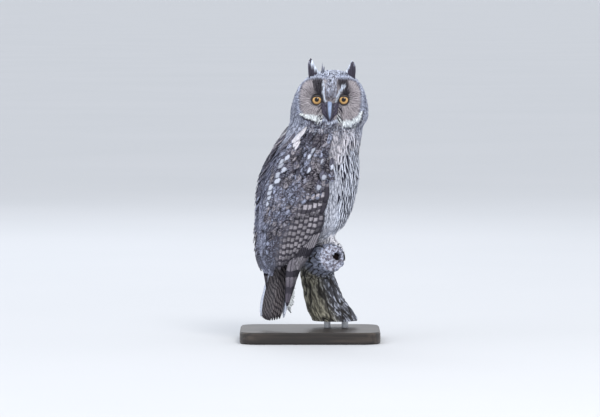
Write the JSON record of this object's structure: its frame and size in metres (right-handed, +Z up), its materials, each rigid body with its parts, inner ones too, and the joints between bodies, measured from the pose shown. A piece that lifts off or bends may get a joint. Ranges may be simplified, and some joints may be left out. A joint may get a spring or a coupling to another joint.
{
  "type": "long-eared owl display model",
  "caption": "Life-size still model of a long-eared owl perched on a cut length of branch, held by a flat base with two short rods.",
  "frame": {"origin": "middle of the base's underside, on the floor", "axes": "+Z up, the face looks along -Y, the body faces +X turned a little towards +Y"},
  "size_m": [0.19, 0.156, 0.3837],
  "materials": {
    "face_plumage": "soft matt feathers, grey-buff",
    "pale_plumage": "soft matt feathers, grey-white and buff with dark streaks",
    "brown_plumage": "matt feathers, barred and mottled dark brown, grey and buff",
    "dark_plumage": "matt feathers, black-brown with pale edges",
    "eye": "glossy orange iris with a black pupil",
    "horn": "smooth dark horn with a paler blue-grey ridge",
    "claw": "smooth black horn",
    "bark": "weathered grey bark with fissures, mossy brown on the shaded side",
    "base_wood": "dark stained wood, satin",
    "steel": "brushed"
  },
  "bodies": {
    "root": {"head": "face_plumage", "bill_upper": "horn", "bill_lower": "horn", "eye_right": "eye", "eye_left": "eye", "ear_tuft_right": "dark_plumage", "ear_tuft_left": "dark_plumage", "neck": "pale_plumage", "torso": "pale_plumage", "wing_right": "brown_plumage", "wing_left": "brown_plumage", "tail": "brown_plumage", "leg_right": "pale_plumage", "leg_left": "pale_plumage", "foot_right": "pale_plumage", "foot_left": "pale_plumage", "claw_right_1": "claw", "claw_right_2": "claw", "claw_right_3": "claw", "claw_right_4": "claw", "claw_left_1": "claw", "claw_left_2": "claw", "claw_left_3": "claw", "claw_left_4": "claw", "perch": "bark", "stand_base": "base_wood", "stand_rod_1": "steel", "stand_rod_2": "steel"}
  },
  "joints": []
}
